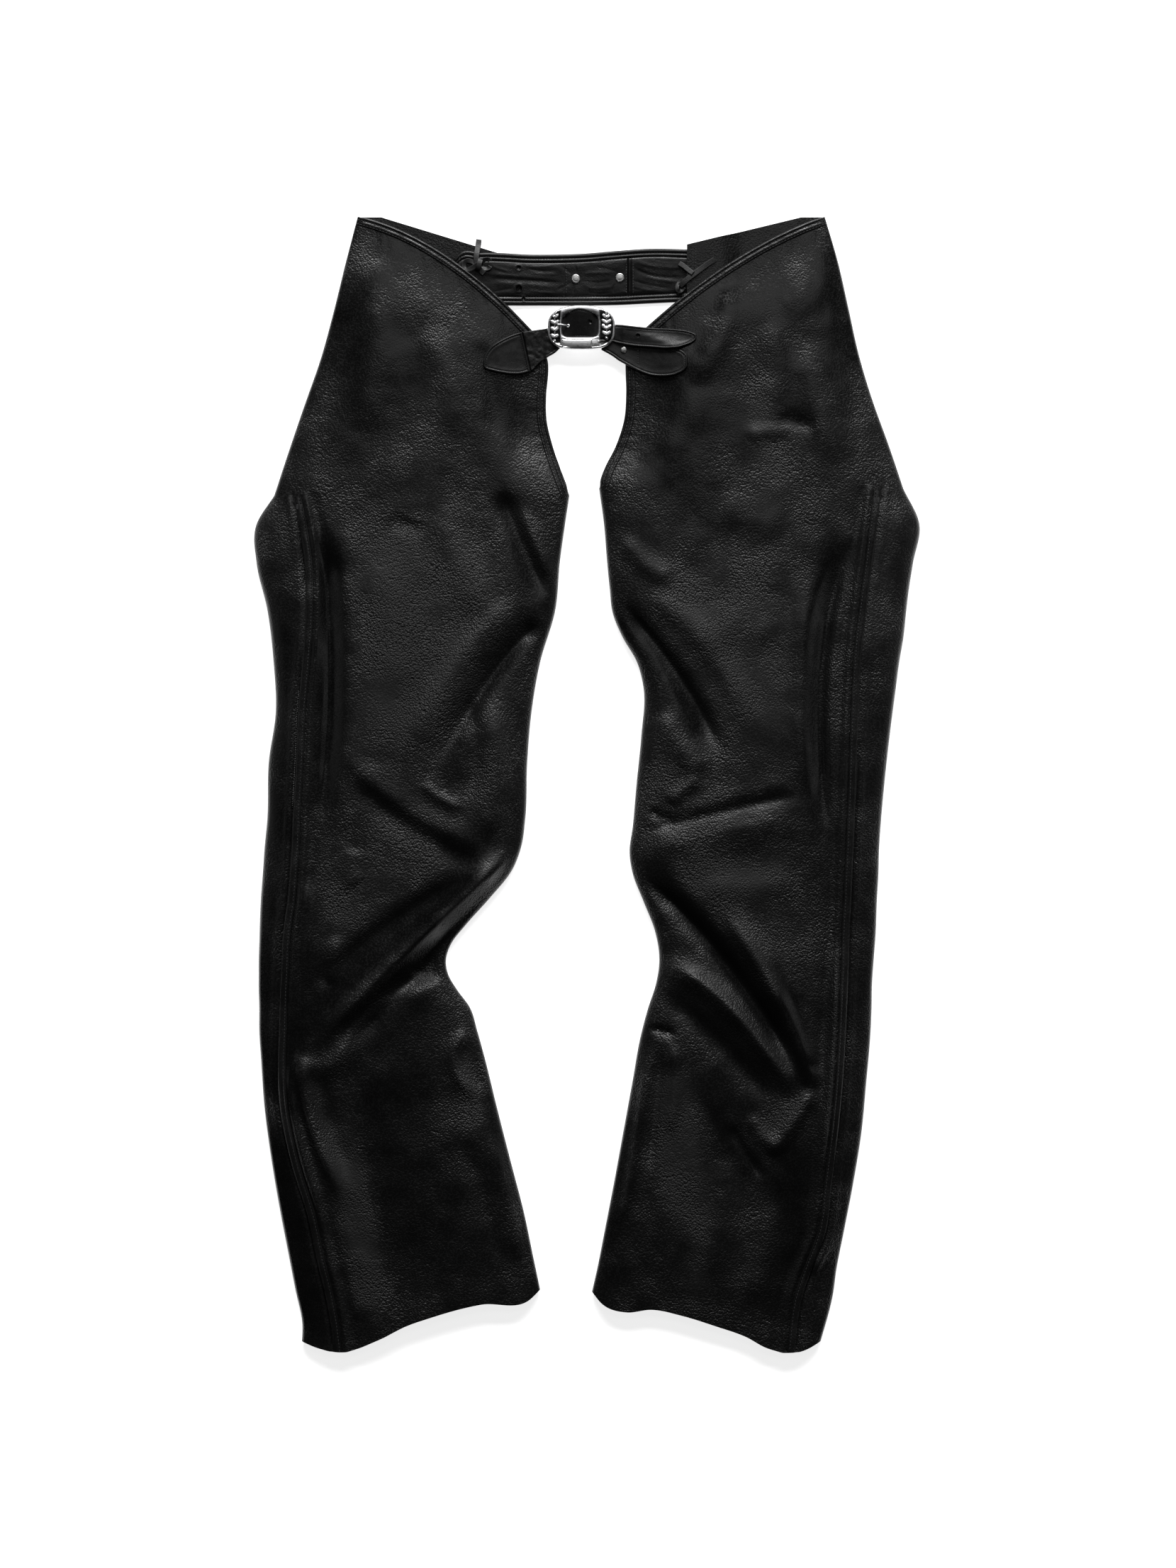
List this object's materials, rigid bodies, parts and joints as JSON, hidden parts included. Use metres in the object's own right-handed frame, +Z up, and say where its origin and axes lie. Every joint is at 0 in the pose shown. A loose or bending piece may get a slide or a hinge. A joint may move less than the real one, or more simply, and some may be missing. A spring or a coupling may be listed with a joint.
{
  "type": "leather chaps",
  "caption": "Black leather chaps laid out flat, front up: wide zipped legs with soft folds, a laced rear belt with rivets, and a front strap with a polished buckle.",
  "frame": {"origin": "centre of the garment's bounding box, on the surface it lies on", "axes": "+X to the viewer's right, +Y towards the waist, +Z up from the surface, the front of the chaps up"},
  "size_m": [0.6252, 1.0665, 0.0209],
  "materials": {
    "panel_leather": "soft pebbled grain, satin",
    "band_leather": "smooth satin with stitching",
    "belt_leather": "creased satin with stitching",
    "strap_leather": "smooth, slightly glossy",
    "lace_leather": "matt",
    "rivet_steel": "satin steel",
    "buckle_metal": "polished"
  },
  "bodies": {
    "root": {"front_panel_left": "panel_leather", "front_panel_right": "panel_leather", "back_panel_left": "panel_leather", "back_panel_right": "panel_leather", "edge_band_left": "band_leather", "edge_band_right": "band_leather", "zip_strip_left": "band_leather", "zip_strip_right": "band_leather", "rear_belt": "belt_leather", "rivet_1": "rivet_steel", "rivet_2": "rivet_steel", "front_tab_left": "strap_leather", "front_tab_right": "strap_leather", "tip_strap": "strap_leather", "tab_screw": "rivet_steel", "buckle_frame": "buckle_metal", "buckle_bar": "buckle_metal", "buckle_prong": "buckle_metal", "lace_left": "lace_leather", "lace_right": "lace_leather", "lace_knot_left": "lace_leather", "lace_knot_right": "lace_leather"}
  },
  "joints": []
}
